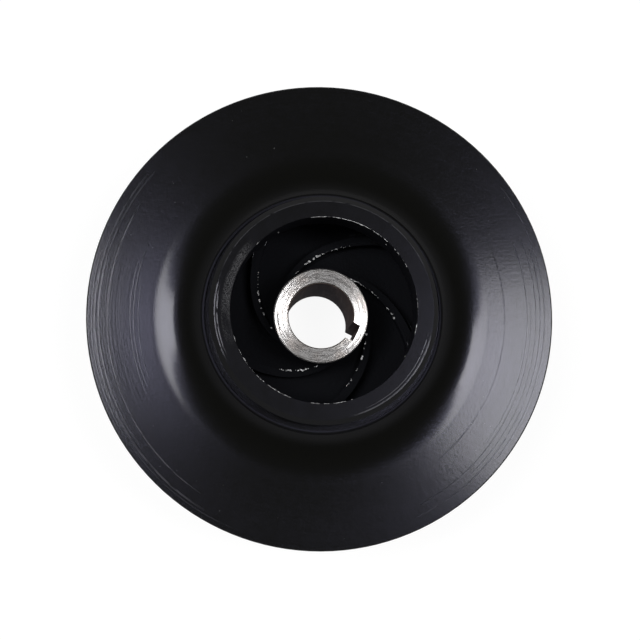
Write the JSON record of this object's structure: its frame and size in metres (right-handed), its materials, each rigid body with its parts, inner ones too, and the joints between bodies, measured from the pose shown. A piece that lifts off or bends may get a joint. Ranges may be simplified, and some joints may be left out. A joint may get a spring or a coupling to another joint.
{
  "type": "pump impeller",
  "caption": "Closed centrifugal pump impeller: cast iron shrouds around backward-curved blades, turned suction neck, and a hub with a keyed through bore.",
  "frame": {"origin": "centre of the rear hub face, on the bore axis", "axes": "+Z along the bore from the rear hub face towards the suction eye; +X from the bore axis through the middle of the keyway"},
  "size_m": [0.215, 0.215, 0.0825],
  "materials": {
    "painted_casting": "satin black paint over cast iron, with the front hub face and the bore left bare"
  },
  "bodies": {
    "root": {"impeller": "painted_casting"}
  },
  "joints": []
}
